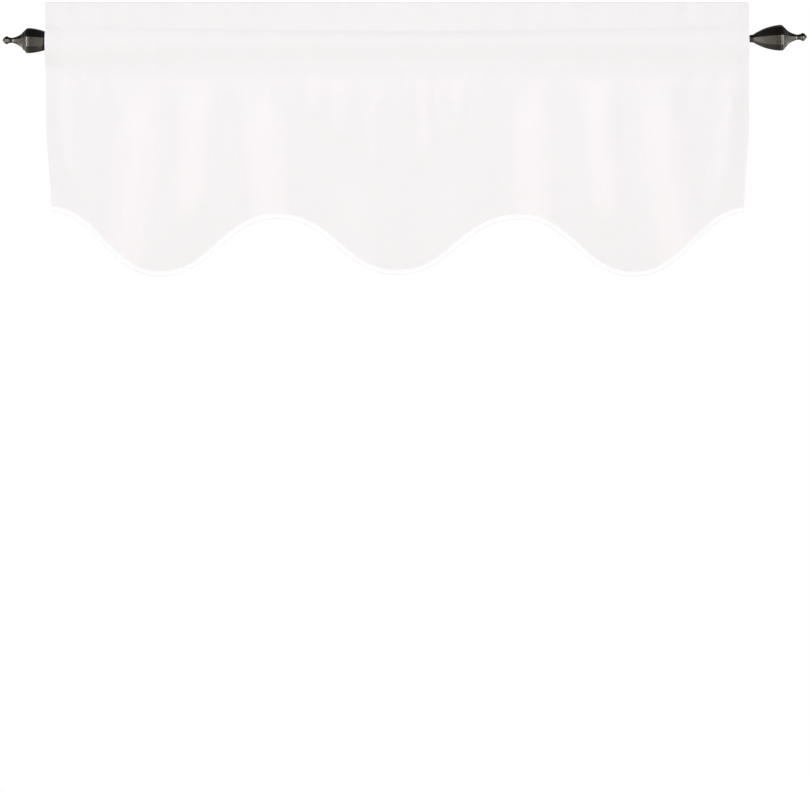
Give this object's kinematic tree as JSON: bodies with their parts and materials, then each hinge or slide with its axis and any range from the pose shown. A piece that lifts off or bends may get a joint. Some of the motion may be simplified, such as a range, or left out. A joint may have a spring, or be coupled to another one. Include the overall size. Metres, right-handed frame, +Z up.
{
  "type": "window valance on curtain rod",
  "caption": "White rod-pocket window valance with a scalloped, tape-bound hem, gathered on a slim dark bronze rod with octagonal urn finials.",
  "frame": {"origin": "on the rod's axis, midway between the tips of the two finials", "axes": "+X along the rod, to the right of someone who faces the window; +Y towards the window, so the front of the cloth faces -Y; +Z up"},
  "size_m": [1.348, 0.0444, 0.4627],
  "materials": {
    "cloth": "matt woven microfibre, softly opaque",
    "binding": "bright white woven tape",
    "bronze": "glossy dark bronze"
  },
  "bodies": {
    "root": {"valance_panel": "cloth", "scallop_binding": "binding", "curtain_rod": "bronze", "finial_left": "bronze", "finial_right": "bronze"}
  },
  "joints": []
}
